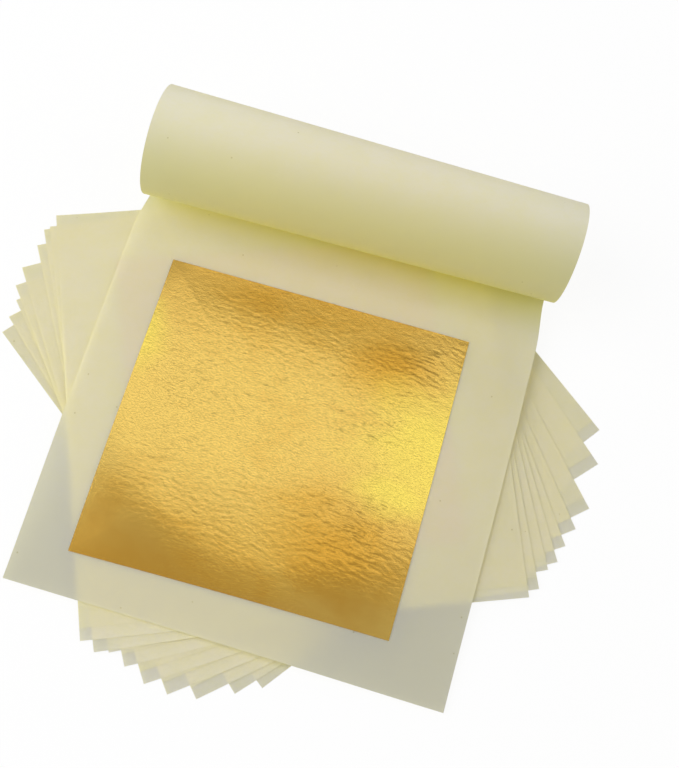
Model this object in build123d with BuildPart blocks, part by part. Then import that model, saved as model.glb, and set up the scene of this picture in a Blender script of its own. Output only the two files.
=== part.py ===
from build123d import *

import os
from math import degrees, radians

# Pack of gold leaf folders, fanned by hand, with the top folder opened.
# Millimetres, +Z up. The origin is on the table, on the axis about which the pack is fanned.
# X runs along the near edge of the open page, Y from that edge towards its fold.

# Gold leaves, one in each folder
leaf_side = 80.0
leaf_thickness = 0.05

# Tissue folders: tissue folded once, with bare paper all round the leaf, and the lower ply a
# little longer than the upper
paper_margin = 14.5
ply = 0.10
lip = 3.0
folder_thickness = 0.40
folder_clearance = 0.10

# The fan, from the bottom folder up: turn in degrees, counter-clockwise seen from above, and how
# far each folder's middle lies from the fan's axis, as shares of the paper's side
fan_turns = (53.6, 48.6, 42.3, 38.6, 34.8, 30.4, 27.6, 25.0, 22.5)
fan_shift_shares = (
    (0.014, 0.060),
    (0.022, 0.038),
    (0.024, 0.004),
    (0.007, -0.008),
    (-0.001, -0.008),
    (0.001, 0.003),
    (-0.007, 0.012),
    (-0.007, -0.007),
    (-0.014, -0.004),
)

# The open folder on top: its page lies square to X and Y
page_shift_x = 1.5
page_shift_y = -8.5

# Its gold leaf, from the middle of the page
top_leaf_shift_x = -2.4
top_leaf_shift_y = -3.7
top_leaf_turn = 0.8

# Its upper ply, laid back past the fold and curled up, over and back inside itself
roll_radius = 13.8
roll_run = 7.0
roll_gap = 0.3

# Places worked out from the sizes above
paper_side = leaf_side + 2 * paper_margin
half_paper = paper_side / 2
half_ply = ply / 2
half_turn = 180
upper_ply_length = paper_side - lip
folder_pitch = folder_thickness + folder_clearance
fold_bend = folder_thickness / 2
page_floor = folder_pitch * len(fan_turns)


def bed_of(shift_x, shift_y, floor, turn):
    """Plane under a square sheet, at its middle, x along its near edge and y towards its fold."""
    return Plane(origin=(shift_x, shift_y, floor)).rotated((0, 0, turn))


def side_of(bed):
    """Plane at the left edge of a sheet on this bed, x towards the fold and y up."""
    corner = bed.from_local_coords((-half_paper, 0, 0))
    return Plane(origin=corner, x_dir=bed.y_dir, z_dir=bed.x_dir)


os.makedirs("parts", exist_ok=True)

# Closed folders and the leaf inside each, bottom of the pack first
for place, (turn, shares) in enumerate(zip(fan_turns, fan_shift_shares)):
    number = place + 1
    share_x, share_y = shares
    bed = bed_of(share_x * paper_side, share_y * paper_side, place * folder_pitch, turn)

    with BuildPart() as folder:
        with BuildSketch(side_of(bed)):
            with BuildLine():
                lower = Line((-half_paper, half_ply), (half_paper - fold_bend, half_ply))
                fold = JernArc(lower @ 1, lower % 1, fold_bend - half_ply, half_turn)
                Line(fold @ 1, (-half_paper + lip, folder_thickness - half_ply))
            trace(line_width=ply)
        extrude(amount=paper_side)
    folder.part.label = f"folder_{number}"
    export_step(folder.part, f"parts/folder_{number}.step")

    with BuildPart() as leaf:
        with BuildSketch(bed.offset(ply)):
            Rectangle(leaf_side, leaf_side)
        extrude(amount=leaf_thickness)
    leaf.part.label = f"gold_leaf_{number}"
    export_step(leaf.part, f"parts/gold_leaf_{number}.step")

# Lower ply of the open folder, flat on the pack
page_bed = bed_of(page_shift_x, page_shift_y, page_floor, 0)
with BuildPart() as open_page:
    with BuildSketch(page_bed):
        Rectangle(paper_side, paper_side)
    extrude(amount=ply)
open_page.part.label = "open_page"
export_step(open_page.part, "parts/open_page.step")

# Gold leaf on the open page
leaf_bed = bed_of(
    page_shift_x + top_leaf_shift_x,
    page_shift_y + top_leaf_shift_y,
    page_floor + ply,
    top_leaf_turn,
)
with BuildPart() as top_leaf:
    with BuildSketch(leaf_bed):
        Rectangle(leaf_side, leaf_side)
    extrude(amount=leaf_thickness)
top_number = len(fan_turns) + 1
top_leaf.part.label = f"gold_leaf_{top_number}"
export_step(top_leaf.part, f"parts/gold_leaf_{top_number}.step")

# Upper ply of the open folder: a short flat run past the fold, then half turns until its length is
# used up. Each half turn is tighter than the last by half of a layer's step, so the ply ends inside.
layer_step = ply + roll_gap
turn_radius = roll_radius - half_ply
length_left = upper_ply_length - roll_run
with BuildPart() as rolled_flap:
    with BuildSketch(side_of(page_bed)):
        with BuildLine():
            stretch = Line((half_paper, half_ply), (half_paper + roll_run, half_ply))
            while length_left > 0:
                sweep = min(half_turn, degrees(length_left / turn_radius))
                stretch = JernArc(stretch @ 1, stretch % 1, turn_radius, sweep)
                length_left -= turn_radius * radians(sweep)
                turn_radius -= layer_step / 2
        trace(line_width=ply)
    extrude(amount=paper_side)
rolled_flap.part.label = "rolled_flap"
export_step(rolled_flap.part, "parts/rolled_flap.step")
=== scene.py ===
"""Looks of a fanned pack of gold leaf in tissue folders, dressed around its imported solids.

Everything is in metres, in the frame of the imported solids: the table is at height zero, and the
folders are fanned about the vertical axis through the origin.
"""

import logging
import math
from dataclasses import dataclass
from enum import Enum
from typing import Any, Optional, Sequence, Union

import bpy
import numpy as np
from mathutils import Matrix, Vector, noise


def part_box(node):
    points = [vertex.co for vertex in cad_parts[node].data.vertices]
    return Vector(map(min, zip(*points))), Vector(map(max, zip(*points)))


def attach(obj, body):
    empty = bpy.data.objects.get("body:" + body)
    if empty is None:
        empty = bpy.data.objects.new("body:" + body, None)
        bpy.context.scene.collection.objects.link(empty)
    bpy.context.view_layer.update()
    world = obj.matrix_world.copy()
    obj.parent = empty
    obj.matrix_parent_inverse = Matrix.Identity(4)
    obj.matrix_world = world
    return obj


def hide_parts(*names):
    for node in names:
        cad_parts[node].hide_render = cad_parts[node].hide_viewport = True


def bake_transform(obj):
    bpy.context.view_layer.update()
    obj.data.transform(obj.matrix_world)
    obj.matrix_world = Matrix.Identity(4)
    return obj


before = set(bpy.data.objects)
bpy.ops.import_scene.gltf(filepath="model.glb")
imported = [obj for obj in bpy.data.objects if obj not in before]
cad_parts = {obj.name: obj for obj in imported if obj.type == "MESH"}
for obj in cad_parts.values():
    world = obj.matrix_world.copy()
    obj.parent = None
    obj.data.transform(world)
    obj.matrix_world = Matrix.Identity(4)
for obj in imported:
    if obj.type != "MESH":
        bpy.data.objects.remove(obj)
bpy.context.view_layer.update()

LOG = logging.getLogger("gold_leaf_pack")

MM = 0.001

# The sheets of the pack
CLOSED_FOLDERS = 9
PAPER_SIDE = 109 * MM
LIP = 3 * MM
PAPER_LENGTH = 2 * PAPER_SIDE - LIP
INNER_LEAF_SIDE = 80 * MM
TOP_LEAF_SIDE = 79 * MM

# How far the hidden far corner of the lowest folders is drawn in, by the folder's number
DRAWN_CORNERS = {1: 7 * MM, 2: 5 * MM, 3: 1 * MM}

# The photograph's long side in pixels, and the width of the camera's film in millimetres
PHOTO_LONG_SIDE = 768
FILM_WIDTH = 36.0

FLAT_PLACE = "flat_place"
BAKE_MAP = "OFBake"

WHITE = (1.0, 1.0, 1.0, 1.0)
NOISE_MIDDLE = 0.5

Colour = tuple[float, float, float]
Paint = Union[Colour, bpy.types.NodeSocket]

# Where a soft step starts and where it ends
Edges = tuple[float, float]

Input = Union[float, Sequence[float], "Wire", bpy.types.NodeSocket]


class Kind(str, Enum):
    """The shader nodes that the finishes use."""

    ATTRIBUTE = "ShaderNodeAttribute"
    BUMP = "ShaderNodeBump"
    COORDINATES = "ShaderNodeTexCoord"
    DIFFUSE = "ShaderNodeBsdfDiffuse"
    EMISSION = "ShaderNodeEmission"
    LIGHT_PATH = "ShaderNodeLightPath"
    MATHS = "ShaderNodeMath"
    MIX = "ShaderNodeMix"
    MIX_SHADERS = "ShaderNodeMixShader"
    NOISE = "ShaderNodeTexNoise"
    OUTPUT = "ShaderNodeOutputMaterial"
    PRINCIPLED = "ShaderNodeBsdfPrincipled"
    ROTATE = "ShaderNodeVectorRotate"
    RAMP = "ShaderNodeMapRange"
    TRANSLUCENT = "ShaderNodeBsdfTranslucent"
    VECTOR_MATHS = "ShaderNodeVectorMath"
    VORONOI = "ShaderNodeTexVoronoi"
    WORLD_BACKGROUND = "ShaderNodeBackground"
    WORLD_OUTPUT = "ShaderNodeOutputWorld"


class Slot(str, Enum):
    """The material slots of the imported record."""

    TISSUE = "tissue"
    GOLD = "gold"


class Held(str, Enum):
    """How a sheet is held."""

    FOLDED = "folded"
    LAID = "laid"


class Layer(float, Enum):
    """Levels at which the leaf's noise is cut, so that no two of its patterns are alike."""

    WAVE = 0.3
    WRINKLE = 2.0
    DRIFT_ACROSS = 4.1
    STREAK = 5.0
    CRUMPLE = 6.0
    DRIFT_ALONG = 8.7
    RIDGE = 9.0


@dataclass(frozen=True)
class Grain:
    """Length and width of a pattern's features, and the angle in degrees of its grain."""

    length: float
    width: float
    turn: float = 0.0


@dataclass(frozen=True)
class Detail:
    """How the layers of a noise follow each other: their evenness, how much finer, and how many."""

    evenness: float
    finer: float
    layers: int = 2


class Wire:
    """A number that runs through a shader, so that shader maths reads as a plain sum."""

    def __init__(self, shader: "Shader", socket: bpy.types.NodeSocket) -> None:
        """Keep the shader and the socket that gives the number."""
        self.shader = shader
        self.socket = socket

    def __add__(self, other: Input) -> "Wire":
        """Sum."""
        return self.shader.maths("ADD", self, other)

    __radd__ = __add__

    def __mul__(self, other: Input) -> "Wire":
        """Product."""
        return self.shader.maths("MULTIPLY", self, other)

    __rmul__ = __mul__

    def __sub__(self, other: Input) -> "Wire":
        """Difference."""
        return self.shader.maths("SUBTRACT", self, other)

    def __rsub__(self, other: Input) -> "Wire":
        """Difference the other way round."""
        return self.shader.maths("SUBTRACT", other, self)

    def clear_above(self, start: float, end: float) -> "Wire":
        """Rise smoothly from 0 at start to 1 at end; a start above end falls instead."""
        return self.shader.ramp(self, start, end)


class Shader:
    """The nodes of one material, or of the world, with short ways to add and join them."""

    def __init__(self, tree: bpy.types.NodeTree) -> None:
        """Start from an empty tree."""
        self.tree = tree
        tree.nodes.clear()

    def node(
        self, kind: Kind, inputs: Optional[dict[Union[str, int], Input]] = None, **settings: Any
    ) -> bpy.types.Node:
        """Add a node.

        Args:
            kind: The node's type.
            inputs: A value, a wire or a socket for each named or numbered input.
            **settings: Its properties, set before its sockets are.

        Returns:
            The new node.
        """
        node = self.tree.nodes.new(kind.value)
        for name, value in settings.items():
            setattr(node, name, value)
        for name, value in (inputs or {}).items():
            socket = node.inputs[name]
            if isinstance(value, Wire):
                self.tree.links.new(value.socket, socket)
            elif isinstance(value, bpy.types.NodeSocket):
                self.tree.links.new(value, socket)
            else:
                socket.default_value = value
        return node

    def maths(self, operation: str, first: Input, second: Input = 0.0) -> Wire:
        """Add a Math node for one or two numbers and return its result."""
        node = self.node(Kind.MATHS, {0: first, 1: second}, operation=operation)
        return Wire(self, node.outputs[0])

    def ramp(self, value: Input, start: float, end: float) -> Wire:
        """Map a number smoothly on to 0 to 1.

        Args:
            value: The number to map.
            start: Where the result is 0.
            end: Where the result is 1.

        Returns:
            The mapped number, held between 0 and 1.
        """
        low, high = min(start, end), max(start, end)
        first, last = (0.0, 1.0) if start < end else (1.0, 0.0)
        node = self.node(
            Kind.RAMP,
            {"Value": value, "From Min": low, "From Max": high, "To Min": first, "To Max": last},
            interpolation_type="SMOOTHSTEP",
            clamp=True,
        )
        return Wire(self, node.outputs["Result"])

    def flat_place(self) -> bpy.types.NodeSocket:
        """Give the place on the flat sheet, in metres."""
        return self.node(Kind.ATTRIBUTE, attribute_name=FLAT_PLACE).outputs["Vector"]

    def place(self, stretch: Vector, turn: float = 0.0) -> bpy.types.NodeSocket:
        """Give the place on the flat sheet, stretched so that a pattern's grain follows it.

        Args:
            stretch: How many pattern units a metre of the sheet holds, along each axis.
            turn: Angle in degrees by which the grain is turned first.

        Returns:
            A vector socket.
        """
        spot = self.flat_place()
        if turn:
            inputs = {"Vector": spot, "Angle": math.radians(turn)}
            spot = self.node(Kind.ROTATE, inputs, rotation_type="Z_AXIS").outputs["Vector"]
        scaled = self.node(Kind.VECTOR_MATHS, {0: spot, 1: tuple(stretch)}, operation="MULTIPLY")
        return scaled.outputs["Vector"]

    def part_along(self, vector: bpy.types.NodeSocket, way: Vector) -> Wire:
        """Give how much of a vector lies along a direction."""
        node = self.node(Kind.VECTOR_MATHS, {0: vector, 1: tuple(way)}, operation="DOT_PRODUCT")
        return Wire(self, node.outputs["Value"])

    def length_along(self) -> Wire:
        """Give the length of paper from the near edge, on the flat sheet."""
        return self.part_along(self.flat_place(), Vector((0.0, 1.0, 0.0)))

    def clouds(
        self, grain: Grain, detail: float = 2.0, roughness: float = 0.5, warp: float = 0.0
    ) -> Wire:
        """Add a cloudy pattern on the flat sheet.

        Args:
            grain: Size and turn of its features.
            detail: How many finer layers it has.
            roughness: How strong the finer layers are.
            warp: How much it is warped.

        Returns:
            A number of about 0 to 1, with 0.5 as its middle.
        """
        spot = self.place(Vector((1 / grain.length, 1 / grain.width, 1.0)), grain.turn)
        node = self.node(
            Kind.NOISE,
            {"Vector": spot, "Scale": 1.0, "Detail": detail, "Roughness": roughness, "Distortion": warp},
            noise_dimensions="2D",
            normalize=True,
        )
        return Wire(self, node.outputs["Fac"])

    def specks(self, spacing: float, size: float, core: float = 0.5) -> Wire:
        """Scatter round specks on the flat sheet.

        Args:
            spacing: Mean distance between the places where a speck may lie.
            size: Radius of a speck as a share of the spacing.
            core: Share of that radius within which the speck is full.

        Returns:
            1 in a speck and 0 outside.
        """
        spot = self.place(Vector((1 / spacing, 1 / spacing, 1.0)))
        node = self.node(
            Kind.VORONOI,
            {"Vector": spot, "Scale": 1.0, "Randomness": 1.0},
            voronoi_dimensions="2D",
            feature="F1",
        )
        return Wire(self, node.outputs["Distance"]).clear_above(size, size * core)

    def mix(self, share: Input, first: Paint, second: Paint) -> bpy.types.NodeSocket:
        """Mix two colours.

        Args:
            share: How much of the second colour there is, from 0 to 1.
            first: The first colour.
            second: The second colour.

        Returns:
            The socket that gives the mixed colour.
        """
        first_value = (*first, 1.0) if isinstance(first, tuple) else first
        second_value = (*second, 1.0) if isinstance(second, tuple) else second
        node = self.node(
            Kind.MIX,
            {0: share, 6: first_value, 7: second_value},
            data_type="RGBA",
            blend_type="MIX",
            clamp_factor=True,
        )
        return node.outputs[2]

    def bump(self, height: Wire, depth: float) -> bpy.types.NodeSocket:
        """Turn a height of 0 to 1 into a bumped normal, with the depth in metres."""
        node = self.node(Kind.BUMP, {"Strength": 1.0, "Distance": depth, "Height": height})
        return node.outputs["Normal"]

    def both(self, share: Input, first: bpy.types.Node, second: bpy.types.Node) -> bpy.types.Node:
        """Mix two shaders, with the share of the second."""
        return self.node(Kind.MIX_SHADERS, {0: share, 1: first.outputs[0], 2: second.outputs[0]})

    def finish(self, surface: bpy.types.Node, output: Kind = Kind.OUTPUT) -> None:
        """Join a shader to the output."""
        self.node(output, {"Surface": surface.outputs[0]})


def new_material(name: str) -> tuple[bpy.types.Material, Shader]:
    """Make an empty material and give it with its shader."""
    made = bpy.data.materials.new(name)
    made.use_nodes = True
    return made, Shader(made.node_tree)


def add_object(name: str, data: bpy.types.ID) -> bpy.types.Object:
    """Add an object to the scene."""
    added = bpy.data.objects.new(name, data)
    bpy.context.scene.collection.objects.link(added)
    return added


@dataclass(frozen=True)
class Band:
    """A soft band across a sheet, by its length of paper from the near edge."""

    middle: float
    reach: float

    def mask(self, shader: Shader) -> Wire:
        """Give 1 in the band's middle, falling to 0 within its reach."""
        off = shader.maths("ABSOLUTE", shader.length_along() - self.middle)
        return off.clear_above(self.reach, 0.0)


@dataclass(frozen=True)
class TissueFinish:
    """Thin, translucent, pale yellow tissue with faint fibres, clouds and a few flecks.

    Its tint bands change its colour and its share bands how much light comes through.
    """

    name: str = "tissue"
    tint_bands: tuple[tuple[Band, Colour], ...] = ()
    pale: Colour = (0.97, 0.95, 0.93)
    deep: Colour = (0.95, 0.93, 0.80)
    fleck: Colour = (0.45, 0.40, 0.24)
    through: Colour = (1.0, 0.95, 0.33)
    through_share: float = 0.52
    share_bands: tuple[tuple[Band, float], ...] = ((Band(0.0, 5 * MM), 0.46),)
    roughness: float = 0.62
    gloss: float = 0.35
    cloud_grain: Grain = Grain(9 * MM, 7 * MM)
    pulp_grain: Grain = Grain(1.3 * MM, 0.9 * MM)
    fibre_length: float = 5 * MM
    fibre_width: float = 0.7 * MM
    fibre_turns: tuple[float, ...] = (28.0, -51.0)
    fibre_patches: Grain = Grain(3.5 * MM, 3.5 * MM)
    fibre_line: Edges = (0.018, 0.004)
    fibre_patch_edges: Edges = (0.52, 0.62)
    fibre_tint: float = 0.30
    cloud_edges: Edges = (0.30, 0.72)
    cloud_tint: float = 0.6
    pulp_edges: Edges = (0.35, 0.70)
    pulp_tint: float = 0.4
    fleck_spacing: float = 15 * MM
    fleck_size: float = 0.018
    fleck_edges: Edges = (0.47, 0.52)
    fleck_tint: float = 0.7
    pulp_height: float = 0.7
    fibre_height: float = 0.3
    grain_depth: float = 0.02 * MM

    def material(self) -> bpy.types.Material:
        """Make the material."""
        made, shader = new_material(self.name)
        clouds = shader.clouds(self.cloud_grain, detail=4.0, roughness=0.6)
        pulp = shader.clouds(self.pulp_grain, detail=3.0, roughness=0.65)
        fibres = self.fibres(shader)
        cloud_tint = clouds.clear_above(*self.cloud_edges) * self.cloud_tint
        tint = cloud_tint + pulp.clear_above(*self.pulp_edges) * self.pulp_tint
        specks = shader.specks(self.fleck_spacing, self.fleck_size)
        flecks = specks * clouds.clear_above(*self.fleck_edges)
        paper = shader.mix(tint, self.pale, self.deep)
        paper = shader.mix(fibres * self.fibre_tint, paper, self.deep)
        # Tint bands: the open sheet's bands are painted glow and painted shade
        for band, tint_colour in self.tint_bands:
            paper = shader.mix(band.mask(shader), paper, tint_colour)
        paper = shader.mix(flecks * self.fleck_tint, paper, self.fleck)
        height = pulp * self.pulp_height + fibres * self.fibre_height
        surface = shader.node(
            Kind.PRINCIPLED,
            {
                "Base Color": paper,
                "Roughness": self.roughness,
                "Specular IOR Level": self.gloss,
                "Normal": shader.bump(height, self.grain_depth),
            },
        )
        behind = shader.node(Kind.TRANSLUCENT, {"Color": (*self.through, 1.0)})
        share: Input = self.through_share
        for band, band_share in self.share_bands:
            share = share + band.mask(shader) * (band_share - self.through_share)
        shader.finish(shader.both(share, surface, behind))
        return made

    def fibres(self, shader: Shader) -> Wire:
        """Draw thin short fibres that lie several ways, 1 on a fibre and 0 beside it."""
        drawn: Input = 0.0
        for turn in self.fibre_turns:
            line = shader.clouds(Grain(self.fibre_length, self.fibre_width, turn), detail=1.0, warp=0.8)
            near_ridge = shader.maths("ABSOLUTE", line - NOISE_MIDDLE)
            patch = shader.clouds(self.fibre_patches, detail=1.0)
            fibre = near_ridge.clear_above(*self.fibre_line)
            drawn = fibre * patch.clear_above(*self.fibre_patch_edges) + drawn
        return drawn


def open_sheet_finish() -> TissueFinish:
    """Give the finish of the open sheet, with painted glow and shade, and thinner where it curls.

    Returns:
        The finish, with its bands by length of paper: painted grey shade over the near edge,
        painted yellow glow in the hollow at the fold, the top of the roll, painted olive shade on
        its near side, and painted yellow glow on the underside of the roll.
    """
    # Painted light: a yellow glow for light that passes through the layers and bounces, in the hollow at
    # the fold and on the underside of the roll
    painted_glow = (0.97, 0.94, 0.50)
    # Painted shade: olive colour on the near side of the roll, which is turned from the light
    painted_shade_olive = (0.79, 0.78, 0.59)
    # Painted shade: greyer colour over the near edge of the page, which lies over fewer layers and
    # shaded folder edges
    painted_shade_grey = (0.85, 0.84, 0.83)
    near_edge = Band(0.0, 52 * MM)
    hollow = Band(110 * MM, 14 * MM)
    curl_start = Band(118 * MM, 14 * MM)
    roll_top = Band(148 * MM, 20 * MM)
    roll_side = Band(172 * MM, 16 * MM)
    underside = Band(202 * MM, 28 * MM)
    curl_end = Band(198 * MM, 22 * MM)
    dense = 0.36
    thin = 0.85
    return TissueFinish(
        "open_tissue",
        tint_bands=((hollow, painted_glow), (underside, painted_glow), (roll_side, painted_shade_olive), (near_edge, painted_shade_grey)),
        share_bands=((roll_top, dense), (curl_start, thin), (curl_end, thin)),
    )


@dataclass(frozen=True)
class Patch:
    """A soft patch on the leaf, placed and sized in shares of the leaf's side.

    Its strength counts where it shapes the leaf, and its blur where it colours it.
    """

    across: float
    along: float
    reach_across: float
    reach_along: float
    strength: float = 1.0
    blur: float = 0.7

    def mask(self, shader: Shader, side: float, clouds: Wire) -> Wire:
        """Give 1 in the patch's middle and 0 outside it.

        Args:
            shader: The shader to add the patch to.
            side: The leaf's side, in metres.
            clouds: A cloudy number of about 0 to 1 that breaks up the patch's outline.

        Returns:
            The mask.
        """
        stretch = Vector((1 / (self.reach_across * side), 1 / (self.reach_along * side), 0.0))
        spot = shader.place(stretch)
        middle = (self.across / self.reach_across, self.along / self.reach_along, 0.0)
        off = shader.node(Kind.VECTOR_MATHS, {0: spot, 1: middle}, operation="DISTANCE")
        outline = Wire(shader, off.outputs["Value"]) + (clouds - NOISE_MIDDLE) * self.blur
        return outline.clear_above(1.0, 0.0)

    def weight(self, across: float, along: float) -> float:
        """Give the strength in the patch's middle and 0 outside it.

        Args:
            across: The place across the leaf, in shares of its side.
            along: The place along the leaf, in shares of its side.

        Returns:
            The weight.
        """
        off_across = (across - self.across) / self.reach_across
        off_along = (along - self.along) / self.reach_along
        return self.strength * float(smooth(np.array(1.0 - math.hypot(off_across, off_along))))


# Where the leaf is smooth, without creases or grain
LEVEL_PATCHES = (
    Patch(0.05, 0.06, 0.34, 0.20),
    Patch(0.92, 0.00, 0.34, 0.20),
    Patch(0.00, 1.00, 0.30, 0.18),
)


@dataclass(frozen=True)
class GoldFinish:
    """Beaten gold leaf: finely grained, with painted shade and painted highlights in its colour."""

    name: str = "gold_leaf"
    side: float = TOP_LEAF_SIDE
    plain: Colour = (0.88, 0.61, 0.150)
    deep: Colour = (0.73, 0.40, 0.058)
    # Colour of the painted highlights
    painted_highlight: Colour = (0.94, 0.74, 0.135)
    # Painted shade: darker, redder patches where the leaf reflects less light, along its near and far
    # edges and towards its right
    painted_shade_patches: tuple[Patch, ...] = (
        Patch(0.25, -0.06, 1.20, 0.46),
        Patch(0.78, 0.20, 0.46, 0.34),
        Patch(0.45, 1.14, 1.10, 0.50),
        Patch(0.78, 0.86, 0.30, 0.22),
    )
    # Painted highlights: lemon patches where the leaf catches the light, along its right and left edges
    painted_highlight_patches: tuple[Patch, ...] = (
        Patch(1.02, 0.62, 0.44, 0.34),
        Patch(0.90, 0.44, 0.22, 0.12),
        Patch(-0.02, 0.72, 0.12, 0.20),
    )
    cloud_grain: Grain = Grain(16 * MM, 11 * MM)
    cloud_edges: Edges = (0.48, 0.74)
    cloud_tint: float = 0.20
    fine_grain: Grain = Grain(0.60 * MM, 0.42 * MM, 9.0)
    grain_depth: float = 0.030 * MM
    # Share of painted shade in the hollows of the fine grain
    painted_crease_shade: float = 0.5
    level_wear: float = 0.85
    roughness: float = 0.15
    roughness_spread: float = 0.08

    def material(self) -> bpy.types.Material:
        """Make the material."""
        made, shader = new_material(self.name)
        clouds = shader.clouds(self.cloud_grain, detail=3.0, roughness=0.55)
        # Painted shade from the patches, with redder clouds of tone at random over it
        deep = self.patches(shader, self.painted_shade_patches, clouds)
        deep = deep + clouds.clear_above(*self.cloud_edges) * self.cloud_tint
        # Painted highlights from the lemon patches
        painted_highlight = self.patches(shader, self.painted_highlight_patches, clouds)
        fine = shader.clouds(self.fine_grain, detail=2.5, roughness=0.6, warp=0.6)
        worn = 1.0 - self.patches(shader, LEVEL_PATCHES, clouds) * self.level_wear
        # Painted shade: darker in the hollows of the fine grain, much less in the level patches
        painted_hollow_shade = (NOISE_MIDDLE - fine) * worn * self.painted_crease_shade
        leaf = shader.mix(deep + painted_hollow_shade, self.plain, self.deep)
        leaf = shader.mix(painted_highlight, leaf, self.painted_highlight)
        surface = shader.node(
            Kind.PRINCIPLED,
            {
                "Base Color": leaf,
                "Metallic": 1.0,
                "Roughness": self.roughness + fine * self.roughness_spread,
                "Normal": shader.bump(fine * worn, self.grain_depth),
            },
        )
        shader.finish(surface)
        return made

    def patches(self, shader: Shader, patches: Sequence[Patch], clouds: Wire) -> Wire:
        """Join the masks of several patches.

        Args:
            shader: The shader to add the patches to.
            patches: The patches.
            clouds: A cloudy number of about 0 to 1 that breaks up their outlines.

        Returns:
            The strongest of the masks.
        """
        joined = patches[0].mask(shader, self.side, clouds)
        for patch in patches[1:]:
            joined = shader.maths("MAXIMUM", joined, patch.mask(shader, self.side, clouds))
        return joined


@dataclass(frozen=True)
class Settling:
    """How the loose pack settles.

    Layers keep their full height over the middle of the pack and sink towards its corners. The
    share depends only on the distance from the fan's axis, so that layers stay apart as they turn.
    """

    level_radius: float
    corner_radius: float
    corner_share: float

    def share(self, x: np.ndarray, y: np.ndarray) -> np.ndarray:
        """Share of the full height that is left at places on the table."""
        t = (np.hypot(x, y) - self.level_radius) / (self.corner_radius - self.level_radius)
        return 1 - (1 - self.corner_share) * smooth(t)


# The closed folders sink a little more than the page that lies on them
FAN_SETTLING = Settling(level_radius=38 * MM, corner_radius=79 * MM, corner_share=0.22)
PAGE_SETTLING = Settling(level_radius=42 * MM, corner_radius=82 * MM, corner_share=0.28)


def smooth(t: np.ndarray) -> np.ndarray:
    """Ease from 0 to 1 as t goes from 0 to 1, held level outside."""
    t = np.clip(t, 0.0, 1.0)
    return t * t * (3 - 2 * t)


def lay_sheet(name: str, points: np.ndarray, flat: np.ndarray) -> bpy.types.Object:
    """Make a sheet from a grid of points.

    Args:
        name: The piece's name.
        points: Its points, as rows by columns by 3.
        flat: Where each point lay before the sheet was folded, as rows by columns by 2.

    Returns:
        The new object, with its flat places stored for the finishes.
    """
    rows, columns = points.shape[:2]
    index = np.arange(rows * columns).reshape(rows, columns)
    corners = (index[:-1, :-1], index[:-1, 1:], index[1:, 1:], index[1:, :-1])
    quads = np.stack(corners, axis=-1).reshape(-1, 4)
    mesh = bpy.data.meshes.new(name)
    mesh.from_pydata(points.reshape(-1, 3).tolist(), [], quads.tolist())
    mesh.polygons.foreach_set("use_smooth", np.ones(len(quads), bool))
    spots = np.zeros((rows * columns, 3), np.float32)
    spots[:, :2] = flat.reshape(-1, 2)
    places = mesh.attributes.new(FLAT_PLACE, "FLOAT_VECTOR", "POINT")
    places.data.foreach_set("vector", spots.ravel())
    low = spots[:, :2].min(axis=0)
    span = np.ptp(spots[:, :2], axis=0)
    unit = (spots[:, :2] - low) / span
    layer = mesh.uv_layers.new(name=BAKE_MAP)
    layer.uv.foreach_set("vector", unit[quads.ravel()].astype(np.float32).ravel())
    mesh.update()
    return add_object(name, mesh)


def dress(piece: bpy.types.Object, material: bpy.types.Material) -> None:
    """Give a piece its finish."""
    piece.data.materials.append(material)


@dataclass(frozen=True)
class Bed:
    """Where a square sheet lies: its middle, the height under it and its turn about the vertical."""

    x: float
    y: float
    floor: float
    turn: float

    @classmethod
    def of_leaf(cls, node: str) -> "Bed":
        """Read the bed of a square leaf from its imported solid.

        Args:
            node: Name of the leaf's node.

        Returns:
            The bed, with the leaf's underside as its floor.
        """
        corners = np.array([tuple(v.co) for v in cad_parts[node].data.vertices])
        near_left = corners[corners[:, 1].argmin()]
        near_right = corners[corners[:, 0].argmax()]
        run = near_right - near_left
        middle = (corners.min(axis=0) + corners.max(axis=0)) / 2
        return cls(middle[0], middle[1], corners[:, 2].min(), math.atan2(run[1], run[0]))

    def on_table(self, across: np.ndarray, along: np.ndarray) -> tuple[np.ndarray, np.ndarray]:
        """Turn places on the sheet, from its middle, into places on the table."""
        c, s = math.cos(self.turn), math.sin(self.turn)
        return self.x + across * c - along * s, self.y + across * s + along * c


def sheet_name(number: int) -> str:
    """Name of the visible sheet of a closed folder."""
    return f"tissue_folder_{number}"


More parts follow.
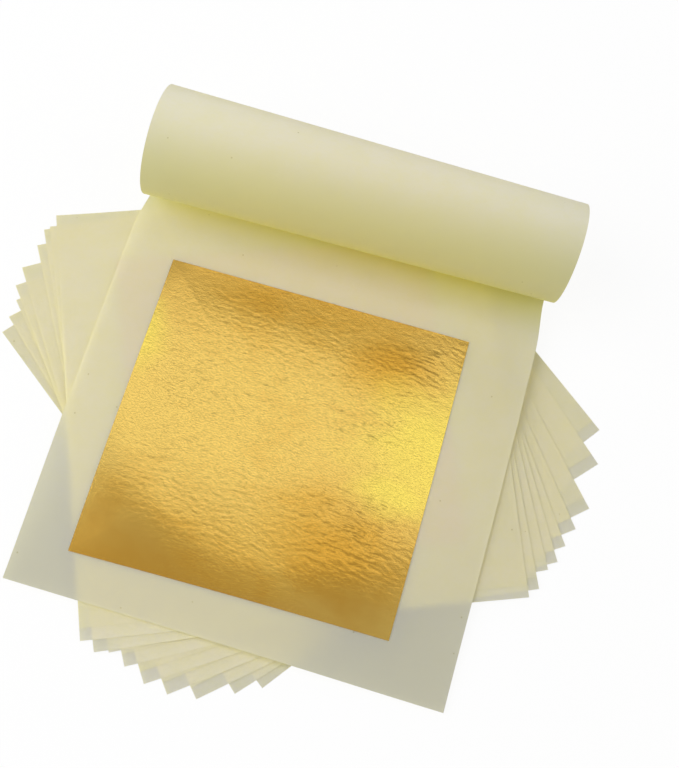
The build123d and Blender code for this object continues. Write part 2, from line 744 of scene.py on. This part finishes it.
@dataclass(frozen=True)
class ClosedFolder:
    """A square of tissue folded once over a gold leaf.

    Attributes:
        number: The folder's place in the pack, from the table up.
        far_corner_draw: How far its far corner is drawn in.
        draw_reach: How far from that corner the draw is felt, as a share of the paper's side.
    """

    number: int
    far_corner_draw: float
    settling: Settling = FAN_SETTLING
    paper_side: float = PAPER_SIDE
    leaf_side: float = INNER_LEAF_SIDE
    lip: float = LIP
    ply: float = 0.10 * MM
    thickness: float = 0.40 * MM
    draw_reach: float = 0.6
    cells: int = 44
    fold_cells: int = 6

    @property
    def body(self) -> str:
        """Name of the folder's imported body, which is its node's name too."""
        return f"folder_{self.number}"

    @property
    def leaf_node(self) -> str:
        """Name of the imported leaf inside."""
        return f"gold_leaf_{self.number}"

    def side_path(self) -> np.ndarray:
        """Trace the folded tissue from its side.

        Returns:
            Points as rows of place along the sheet, height above the folder's floor, and length
            of paper up to there.
        """
        half = self.paper_side / 2
        bend = (self.thickness - self.ply) / 2
        low, high = self.ply / 2, self.thickness - self.ply / 2
        lower = np.linspace(-half, half - bend, self.cells + 1)
        upper = np.linspace(half - bend, -half + self.lip, self.cells + 1)
        sweep = np.linspace(0, math.pi, self.fold_cells + 1)[1:-1]
        along = np.concatenate([lower, half - bend + bend * np.sin(sweep), upper])
        rise = (low + high) / 2 - bend * np.cos(sweep)
        height = np.concatenate([np.full(lower.size, low), rise, np.full(upper.size, high)])
        length = np.concatenate([[0.0], np.cumsum(np.hypot(np.diff(along), np.diff(height)))])
        return np.stack([along, height, length], axis=1)

    def draw_in(self, across: np.ndarray, along: np.ndarray) -> tuple[np.ndarray, np.ndarray]:
        """Draw the far corner in a little, as a rumple under the pack does.

        Args:
            across: Places across the sheet, from its middle.
            along: Places along the sheet, from its middle.

        Returns:
            The places across and along the sheet with the corner drawn in.
        """
        half = self.paper_side / 2
        off = np.hypot(half - across, half - along)
        near_corner = 1 - smooth(off / (self.draw_reach * self.paper_side))
        pull = self.far_corner_draw * math.sqrt(0.5) * near_corner
        return across - pull, along - pull

    def build_tissue(self, material: bpy.types.Material) -> bpy.types.Object:
        """Build the folded tissue as one sheet and dress it.

        Args:
            material: Its finish.

        Returns:
            The sheet.
        """
        bed = Bed.of_leaf(self.leaf_node)
        floor = bed.floor - self.ply
        path = self.side_path()
        columns = np.linspace(-self.paper_side / 2, self.paper_side / 2, self.cells + 1)
        across, along = np.meshgrid(columns, path[:, 0])
        heights = np.broadcast_to(path[:, 1:2], across.shape)
        lengths = np.broadcast_to(path[:, 2:3], across.shape)
        x, y = bed.on_table(*self.draw_in(across, along))
        z = (floor + heights) * self.settling.share(x, y)
        seed_shift = self.number * self.paper_side
        flat = np.stack([across + seed_shift, lengths], axis=-1)
        piece = lay_sheet(sheet_name(self.number), np.stack([x, y, z], axis=-1), flat)
        dress(piece, material)
        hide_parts(self.body)
        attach(piece, self.body)
        return piece

    def build_leaf(self, material: bpy.types.Material) -> bpy.types.Object:
        """Build the leaf that lies inside, on the lower ply, and dress it.

        Args:
            material: Its finish.

        Returns:
            The leaf.
        """
        bed = Bed.of_leaf(self.leaf_node)
        ticks = np.linspace(-self.leaf_side / 2, self.leaf_side / 2, self.cells + 1)
        across, along = np.meshgrid(ticks, ticks)
        x, y = bed.on_table(across, along)
        middle_height = (self.ply + self.thickness) / 2 - self.ply
        z = (bed.floor + middle_height) * self.settling.share(x, y)
        flat = np.stack([across, along], axis=-1)
        piece = lay_sheet(f"leaf_in_folder_{self.number}", np.stack([x, y, z], axis=-1), flat)
        dress(piece, material)
        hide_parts(self.leaf_node)
        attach(piece, self.body)
        return piece


@dataclass(frozen=True)
class OpenFolder:
    """The open folder: one sheet of tissue, its lower ply flat and its upper ply rolled back.

    Attributes:
        roll_middle: Where the sheet begins to wind, halfway along the roll.
        roll_skew: Angle in degrees between the roll and the fold.
        turn_step: How much tighter each whole turn is than the last.
        end_relax: How far the sheet's last stretch, the relax run, springs in from the roll.
        hold_start: Where the roll begins to hold the page up, fully so at hold_end.
        left_pinch: How far the left edge is drawn in at the fold; right_pinch is the right edge's.
        pinch_run: How far from the fold that is felt.
        blend_lead: How far before the fold the sheet begins to bend when the flap lifts; not used.
        blend_reach: Length over which it bends, rising at the blend slope in degrees; neither is used.
    """

    name: str = "open_tissue_folder"
    settling: Settling = PAGE_SETTLING
    paper_side: float = PAPER_SIDE
    roll_middle: float = 52 * MM
    roll_skew: float = 2.66
    left_radius: float = 14.31 * MM
    right_radius: float = 13.47 * MM
    turn_step: float = 0.5 * MM
    end_relax: float = 1.4 * MM
    relax_run: float = 14 * MM
    hold_start: float = 18 * MM
    hold_end: float = 44 * MM
    left_pinch: float = 2.2 * MM
    right_pinch: float = 1.4 * MM
    pinch_run: float = 9 * MM
    rows: int = 250
    columns: int = 88
    blend_lead: float = 0.5 * MM
    blend_reach: float = 0.8 * MM
    blend_slope: float = 75.0

    def radius(self, x: np.ndarray) -> np.ndarray:
        """Radius of the roll along its length, a little less to the right."""
        t = (x - self.left) / self.paper_side
        return self.left_radius + (self.right_radius - self.left_radius) * t

    @property
    def left(self) -> float:
        """Place of the page's left edge."""
        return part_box("open_page")[0].x

    @property
    def near(self) -> float:
        """Place of the page's near edge."""
        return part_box("open_page")[0].y

    @property
    def fold(self) -> float:
        """Place of the fold line."""
        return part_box("open_page")[1].y

    @property
    def height(self) -> float:
        """Height of the page over the middle of the pack."""
        low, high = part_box("open_page")
        return (low.z + high.z) / 2

    def height_at(self, x: np.ndarray, y: np.ndarray) -> np.ndarray:
        """Height of the flat page at places on the table: settled, but held up near the roll."""
        held = smooth((y - self.hold_start) / (self.hold_end - self.hold_start))
        share = self.settling.share(x, y)
        return self.height * (share + (1 - share) * held)

    def shape(self, x: np.ndarray, length: np.ndarray) -> np.ndarray:
        """Place the sheet's points.

        Args:
            x: Places across the sheet.
            length: Lengths of paper from the near edge.

        Returns:
            The points, with one more axis of 3.
        """
        middle = self.left + self.paper_side / 2
        radius = self.radius(x)
        tangent = self.roll_middle + math.tan(math.radians(self.roll_skew)) * (x - middle)
        flat_y = np.minimum(self.near + length, tangent)
        flat_z = self.height_at(x, flat_y)
        wound = np.maximum(self.near + length - tangent, 0.0)
        step = self.turn_step
        angle = (radius - np.sqrt(radius**2 - step * wound / math.pi)) * 2 * math.pi / step
        loose = smooth((length - (PAPER_LENGTH - self.relax_run)) / self.relax_run)
        reach = radius - step * angle / (2 * math.pi) - self.end_relax * loose
        y = flat_y + reach * np.sin(angle)
        z = flat_z + radius - reach * np.cos(angle)
        z = np.where(wound > 0, z, flat_z)
        valley = np.exp(-(((flat_y - self.fold) / self.pinch_run) ** 2)) * np.cos(angle / 2) ** 2
        side = (x - middle) / (self.paper_side / 2)
        pinch = np.where(side < 0, self.left_pinch, self.right_pinch)
        squeezed = x - pinch * np.sign(side) * np.abs(side) ** 3 * valley
        return np.stack([squeezed, y, z], axis=-1)

    def build(self, material: bpy.types.Material) -> bpy.types.Object:
        """Build the sheet and dress it.

        Args:
            material: Its finish.

        Returns:
            The sheet.
        """
        across = np.linspace(self.left, self.left + self.paper_side, self.columns + 1)
        lengths = np.linspace(0.0, PAPER_LENGTH, self.rows + 1)
        x, length = np.meshgrid(across, lengths)
        points = self.shape(x, length)
        piece = lay_sheet(self.name, points, np.stack([x, length], axis=-1))
        dress(piece, material)
        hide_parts("open_page", "rolled_flap")
        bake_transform(piece)
        return piece


@dataclass(frozen=True)
class TopLeaf:
    """The gold leaf on the open page: a real sheet with waves, creases and fine crinkles.

    Attributes:
        clearance: Least height of the leaf over the page.
        near_left: How far that corner, like the next three, is off the square, across and along.
        edge_run: How far from its edges the waves fade, and the creases fall to their edge share.
        least_wrinkled: Share of the wrinkles that is left outside the wrinkled patches.
        least_streaked: Share of the streaks that is left outside the streaked patches.
        level_wear: Share of the creases that is worn away in the level patches.
        drift: How far the creases wander from a regular pattern.
        ridge_top: Height of the sharp ridges, which fall off by the ridge depth.
    """

    page: OpenFolder
    side: float = TOP_LEAF_SIDE
    clearance: float = 0.09 * MM
    cells: int = 320
    near_left: tuple[float, float] = (-0.75 * MM, -0.35 * MM)
    near_right: tuple[float, float] = (-0.43 * MM, 0.42 * MM)
    far_right: tuple[float, float] = (0.43 * MM, 0.77 * MM)
    far_left: tuple[float, float] = (0.76 * MM, -1.01 * MM)
    wave_height: float = 0.15 * MM
    edge_run: float = 15 * MM
    edge_share: float = 0.4
    wrinkle_height: float = 0.070 * MM
    least_wrinkled: float = 0.22
    streak_height: float = 0.022 * MM
    least_streaked: float = 0.2
    crumple_height: float = 0.020 * MM
    level_wear: float = 0.85
    wave_grain: Grain = Grain(34 * MM, 26 * MM)
    drift_grain: Grain = Grain(5 * MM, 5 * MM)
    drift: float = 0.8 * MM
    wrinkle_grain: Grain = Grain(3.2 * MM, 0.80 * MM, -9.0)
    ridge_grain: Grain = Grain(5.0 * MM, 1.3 * MM, -9.0)
    ridge_top: float = 0.35
    ridge_depth: float = 1.4
    streak_grain: Grain = Grain(1.8 * MM, 0.70 * MM, 58.0)
    crumple_grain: Grain = Grain(1.1 * MM, 0.85 * MM)
    crease_detail: Detail = Detail(0.9, 2.1)
    crumple_detail: Detail = Detail(0.8, 2.0)
    wrinkled: tuple[Patch, ...] = (
        Patch(0.96, 0.28, 0.44, 0.26),
        Patch(0.97, 0.90, 0.24, 0.20),
        Patch(0.76, 0.62, 0.24, 0.09, strength=0.45),
    )
    streaked: tuple[Patch, ...] = (Patch(0.16, 0.56, 0.40, 0.36),)

    def relief(self, across: np.ndarray, along: np.ndarray) -> np.ndarray:
        """Height of the leaf above its lowest places.

        Args:
            across: Places across the leaf, in shares of its side.
            along: Places along the leaf, in shares of its side.

        Returns:
            The heights, all above zero.
        """
        waves = np.empty(across.size)
        creases = np.empty(across.size)
        for i, (s, r) in enumerate(zip(across.ravel(), along.ravel())):
            place = Vector((s, r)) * self.side
            waves[i] = self.wave_height * self.ripple(place, self.wave_grain, Layer.WAVE)
            drift_across = self.ripple(place, self.drift_grain, Layer.DRIFT_ACROSS)
            drift_along = self.ripple(place, self.drift_grain, Layer.DRIFT_ALONG)
            place += self.drift * Vector((drift_across, drift_along))
            creases[i] = self.crease(place, s, r)
        edge = np.minimum(np.minimum(across, 1 - across), np.minimum(along, 1 - along))
        held = smooth(edge * self.side / self.edge_run)
        waves = (waves - waves.min()).reshape(across.shape) * held
        kept = self.edge_share + (1 - self.edge_share) * held
        creases = (creases - creases.min()).reshape(across.shape) * kept
        return waves + creases

    def crease(self, place: Vector, across: float, along: float) -> float:
        """Height of the creases, streaks and crumples.

        Args:
            place: The place on the leaf from its near left corner, a little adrift.
            across: The place across the leaf, in shares of its side.
            along: The place along the leaf, in shares of its side.

        Returns:
            The height, above or below zero.
        """
        wrinkled = max(patch.weight(across, along) for patch in self.wrinkled)
        streaked = max(patch.weight(across, along) for patch in self.streaked)
        level = max(patch.weight(across, along) for patch in LEVEL_PATCHES)
        ridge = abs(self.ripple(place, self.ridge_grain, Layer.RIDGE))
        wrinkle = self.tangle(place, self.wrinkle_grain, Layer.WRINKLE, self.crease_detail)
        wrinkle += self.ridge_top - self.ridge_depth * ridge
        streak = self.tangle(place, self.streak_grain, Layer.STREAK, self.crease_detail)
        crumple = self.tangle(place, self.crumple_grain, Layer.CRUMPLE, self.crumple_detail)
        height = self.wrinkle_height * self.at_least(self.least_wrinkled, wrinkled) * wrinkle
        height += self.streak_height * self.at_least(self.least_streaked, streaked) * streak
        height += self.crumple_height * crumple
        return height * (1.0 - self.level_wear * level)

    def at_least(self, least: float, weight: float) -> float:
        """Raise a weight of 0 to 1 so that it starts from the least one."""
        return least + (1 - least) * weight

    def spot(self, place: Vector, grain: Grain, layer: Layer) -> Vector:
        """Give the place in a pattern's own units, along and across its grain."""
        along_grain = Matrix.Rotation(math.radians(-grain.turn), 2) @ place
        return Vector((along_grain.x / grain.length, along_grain.y / grain.width, layer.value))

    def ripple(self, place: Vector, grain: Grain, layer: Layer) -> float:
        """Give a smooth noise of about -1 to 1 at a place on the leaf."""
        return noise.noise(self.spot(place, grain, layer))

    def tangle(self, place: Vector, grain: Grain, layer: Layer, detail: Detail) -> float:
        """Give a noise of several layers at a place on the leaf."""
        spot = self.spot(place, grain, layer)
        return noise.fractal(spot, detail.evenness, detail.finer, detail.layers)

    def build(self, material: bpy.types.Material) -> bpy.types.Object:
        """Build the leaf, dress it and let it ride on its body.

        Args:
            material: Its finish.

        Returns:
            The leaf.
        """
        bed = Bed.of_leaf("gold_leaf_10")
        t = np.linspace(0.0, 1.0, self.cells + 1)
        s, r = np.meshgrid(t, t)
        half = self.side / 2
        across = (s - 0.5) * self.side
        along = (r - 0.5) * self.side
        for axis, grid in ((0, across), (1, along)):
            grid += (1 - s) * (1 - r) * self.near_left[axis] + s * (1 - r) * self.near_right[axis]
            grid += s * r * self.far_right[axis] + (1 - s) * r * self.far_left[axis]
        x, y = bed.on_table(across, along)
        z = self.page.height_at(x, y) + self.clearance + self.relief(s, r)
        flat = np.stack([across + half, along + half], axis=-1)
        piece = lay_sheet("top_gold_leaf", np.stack([x, y, z], axis=-1), flat)
        dress(piece, material)
        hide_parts("gold_leaf_10")
        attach(piece, "top_leaf")
        return piece


@dataclass(frozen=True)
class Lamp:
    """A soft square lamp that faces the pack, with its azimuth and height angle in degrees."""

    name: str
    azimuth: float
    height: float
    power: float
    side: float
    distance: float = 0.95

    def build(self) -> bpy.types.Object:
        """Hang the lamp and return it."""
        light = bpy.data.lights.new(self.name, "AREA")
        light.shape = "SQUARE"
        light.size = self.side
        light.energy = self.power
        lamp = add_object(self.name, light)
        turn, rise = math.radians(self.azimuth), math.radians(self.height)
        flat = math.cos(rise)
        place = self.distance * Vector((flat * math.cos(turn), flat * math.sin(turn), math.sin(rise)))
        lamp.location = place
        lamp.rotation_mode = "QUATERNION"
        lamp.rotation_quaternion = (-place).to_track_quat("-Z", "Y")
        return lamp


@dataclass(frozen=True)
class Studio:
    """The pale floor, the soft light and the camera at the photograph's angle.

    Attributes:
        white_share: Share of plain white in what the camera sees of the floor.
        overhead_tilt: Tilt of the long bright strip overhead, in degrees, as are the next three.
        overhead_edge: Half the strip's width; the core is half the width that is fully bright.
        overhead_end: Half its length, of which the overhead fade is the share fully bright.
        horizon_fade: Sine of the height angle above which the strip is fully bright.
        zenith_reach: How far from the zenith, in degrees, the extra light there reaches.
        camera_yaw: Turn of the camera's tilt about the vertical, in degrees.
        camera_tilt: Tilt from straight down, in degrees; the roll is about the camera's own axis.
        focal_pixels: Focal length, in pixels of the photograph.
    """

    floor_side: float = 6.0
    floor_colour: Colour = (0.46, 0.46, 0.46)
    white_share: float = 0.90
    sky_strength: float = 0.36
    overhead_strength: float = 1.18
    overhead_tilt: float = 17.0
    overhead_edge: float = 8.0
    overhead_core: float = 2.5
    overhead_end: float = 32.0
    overhead_fade: float = 0.5
    horizon_fade: float = 0.5
    zenith_strength: float = 0.16
    zenith_reach: float = 32.0
    lamps: tuple[Lamp, ...] = (
        Lamp("key_lamp", azimuth=196.0, height=40.0, power=6.8, side=0.9),
        Lamp("low_lamp", azimuth=95.0, height=19.0, power=1.6, side=0.7),
        Lamp("fill_lamp", azimuth=8.0, height=40.0, power=1.5, side=0.9),
    )
    light_bounces: int = 8
    camera_place: tuple[float, float, float] = (-1.55 * MM, -104.86 * MM, 323.79 * MM)
    camera_yaw: float = 5.677
    camera_tilt: float = 19.414
    camera_roll: float = 22.822
    focal_pixels: float = 1345.6
    clip_start: float = 10 * MM

    def build_floor(self) -> bpy.types.Object:
        """Lay the floor: white to the camera, plain pale to the light, with the object's shadow."""
        mesh = bpy.data.meshes.new("floor")
        half = self.floor_side / 2
        corners = [(-half, -half, 0.0), (half, -half, 0.0), (half, half, 0.0), (-half, half, 0.0)]
        mesh.from_pydata(corners, [], [(0, 1, 2, 3)])
        floor = add_object("floor", mesh)
        made, shader = new_material("floor")
        plain = shader.node(Kind.DIFFUSE, {"Color": (*self.floor_colour, 1.0)})
        shaded = shader.node(Kind.DIFFUSE, {"Color": WHITE})
        white = shader.node(Kind.EMISSION, {"Color": WHITE, "Strength": 1.0})
        shown = shader.both(self.white_share, shaded, white)
        shader.finish(shader.both(self.seen(shader), plain, shown))
        mesh.materials.append(made)
        return floor

    def seen(self, shader: Shader) -> Wire:
        """Give 1 where the camera sees a surface straight, mirrored or through glass, and else 0."""
        path = shader.node(Kind.LIGHT_PATH)
        straight = Wire(shader, path.outputs["Is Camera Ray"])
        mirrored = Wire(shader, path.outputs["Is Glossy Ray"])
        through = Wire(shader, path.outputs["Is Transmission Ray"])
        clear = through * (1.0 - Wire(shader, path.outputs["Is Diffuse Ray"]))
        return shader.maths("MAXIMUM", shader.maths("MAXIMUM", straight, mirrored), clear)

    def build_sky(self) -> None:
        """Set the even light from all round, with a soft brighter patch overhead."""
        world = bpy.data.worlds.new("studio")
        bpy.context.scene.world = world
        world.use_nodes = True
        shader = Shader(world.node_tree)
        way = shader.node(Kind.COORDINATES).outputs["Generated"]
        across = self.off_plane(shader, way, self.overhead_slope())
        along = self.off_plane(shader, way, Vector((1.0, 0.0, 0.0)))
        angles = (self.overhead_edge, self.overhead_core, self.overhead_end)
        edge, core, end = (math.sin(math.radians(angle)) for angle in angles)
        rise = self.off_plane(shader, way, Vector((0.0, 0.0, 1.0)), signed=True)
        strip = across.clear_above(edge, core) * along.clear_above(end, end * self.overhead_fade)
        strip *= rise.clear_above(0.0, self.horizon_fade)
        zenith = rise.clear_above(math.cos(math.radians(self.zenith_reach)), 1.0)
        light = self.sky_strength + strip * (self.overhead_strength - self.sky_strength)
        light = light + zenith * self.zenith_strength
        straight = Wire(shader, shader.node(Kind.LIGHT_PATH).outputs["Is Camera Ray"])
        strength = light + straight * (1.0 - light)
        sky = shader.node(Kind.WORLD_BACKGROUND, {"Color": WHITE, "Strength": strength})
        shader.finish(sky, Kind.WORLD_OUTPUT)

    def overhead_slope(self) -> Vector:
        """Direction square to the long bright strip overhead, which is tilted towards the roll."""
        tilt = math.radians(self.overhead_tilt)
        return Vector((0.0, math.cos(tilt), -math.sin(tilt)))

    def off_plane(
        self, shader: Shader, way: bpy.types.NodeSocket, square: Vector, signed: bool = False
    ) -> Wire:
        """Sine of the angle between a direction and a plane.

        Args:
            shader: The shader to add it to.
            way: The direction.
            square: The direction square to the plane.
            signed: Whether the far side of the plane counts as negative.

        Returns:
            The sine.
        """
        sine = shader.part_along(way, square)
        return sine if signed else shader.maths("ABSOLUTE", sine)

    def build_camera(self) -> bpy.types.Object:
        """Set the camera where the photograph was taken from."""
        data = bpy.data.cameras.new("camera")
        data.sensor_width = FILM_WIDTH
        data.lens = self.focal_pixels * FILM_WIDTH / PHOTO_LONG_SIDE
        data.clip_start = self.clip_start
        camera = add_object("camera", data)
        turn = Matrix.Rotation(math.radians(-self.camera_yaw), 4, "Z")
        tilt = Matrix.Rotation(math.radians(self.camera_tilt), 4, "X")
        roll = Matrix.Rotation(math.radians(self.camera_roll), 4, "Z")
        camera.matrix_world = Matrix.Translation(self.camera_place) @ turn @ tilt @ roll
        bpy.context.scene.camera = camera
        return camera

    def build(self) -> None:
        """Build the camera, the floor and the lights."""
        bpy.context.scene.view_settings.view_transform = "Standard"
        bpy.context.scene.cycles.diffuse_bounces = self.light_bounces
        self.build_camera()
        self.build_floor()
        self.build_sky()
        for lamp in self.lamps:
            lamp.build()


def main() -> None:
    """Build the studio and every piece of the pack, from the table up."""
    logging.basicConfig(level=logging.INFO, format="%(message)s")
    Studio().build()
    tissue = TissueFinish().material()
    open_tissue = open_sheet_finish().material()
    gold = GoldFinish().material()
    for number in range(1, CLOSED_FOLDERS + 1):
        folder = ClosedFolder(number, DRAWN_CORNERS.get(number, 0.0))
        for piece in (folder.build_tissue(tissue), folder.build_leaf(gold)):
            LOG.info("built %s", piece.name)
    open_folder = OpenFolder()
    LOG.info("built %s", open_folder.build(open_tissue).name)
    LOG.info("built %s", TopLeaf(open_folder).build(gold).name)


if __name__ == "__main__":
    main()
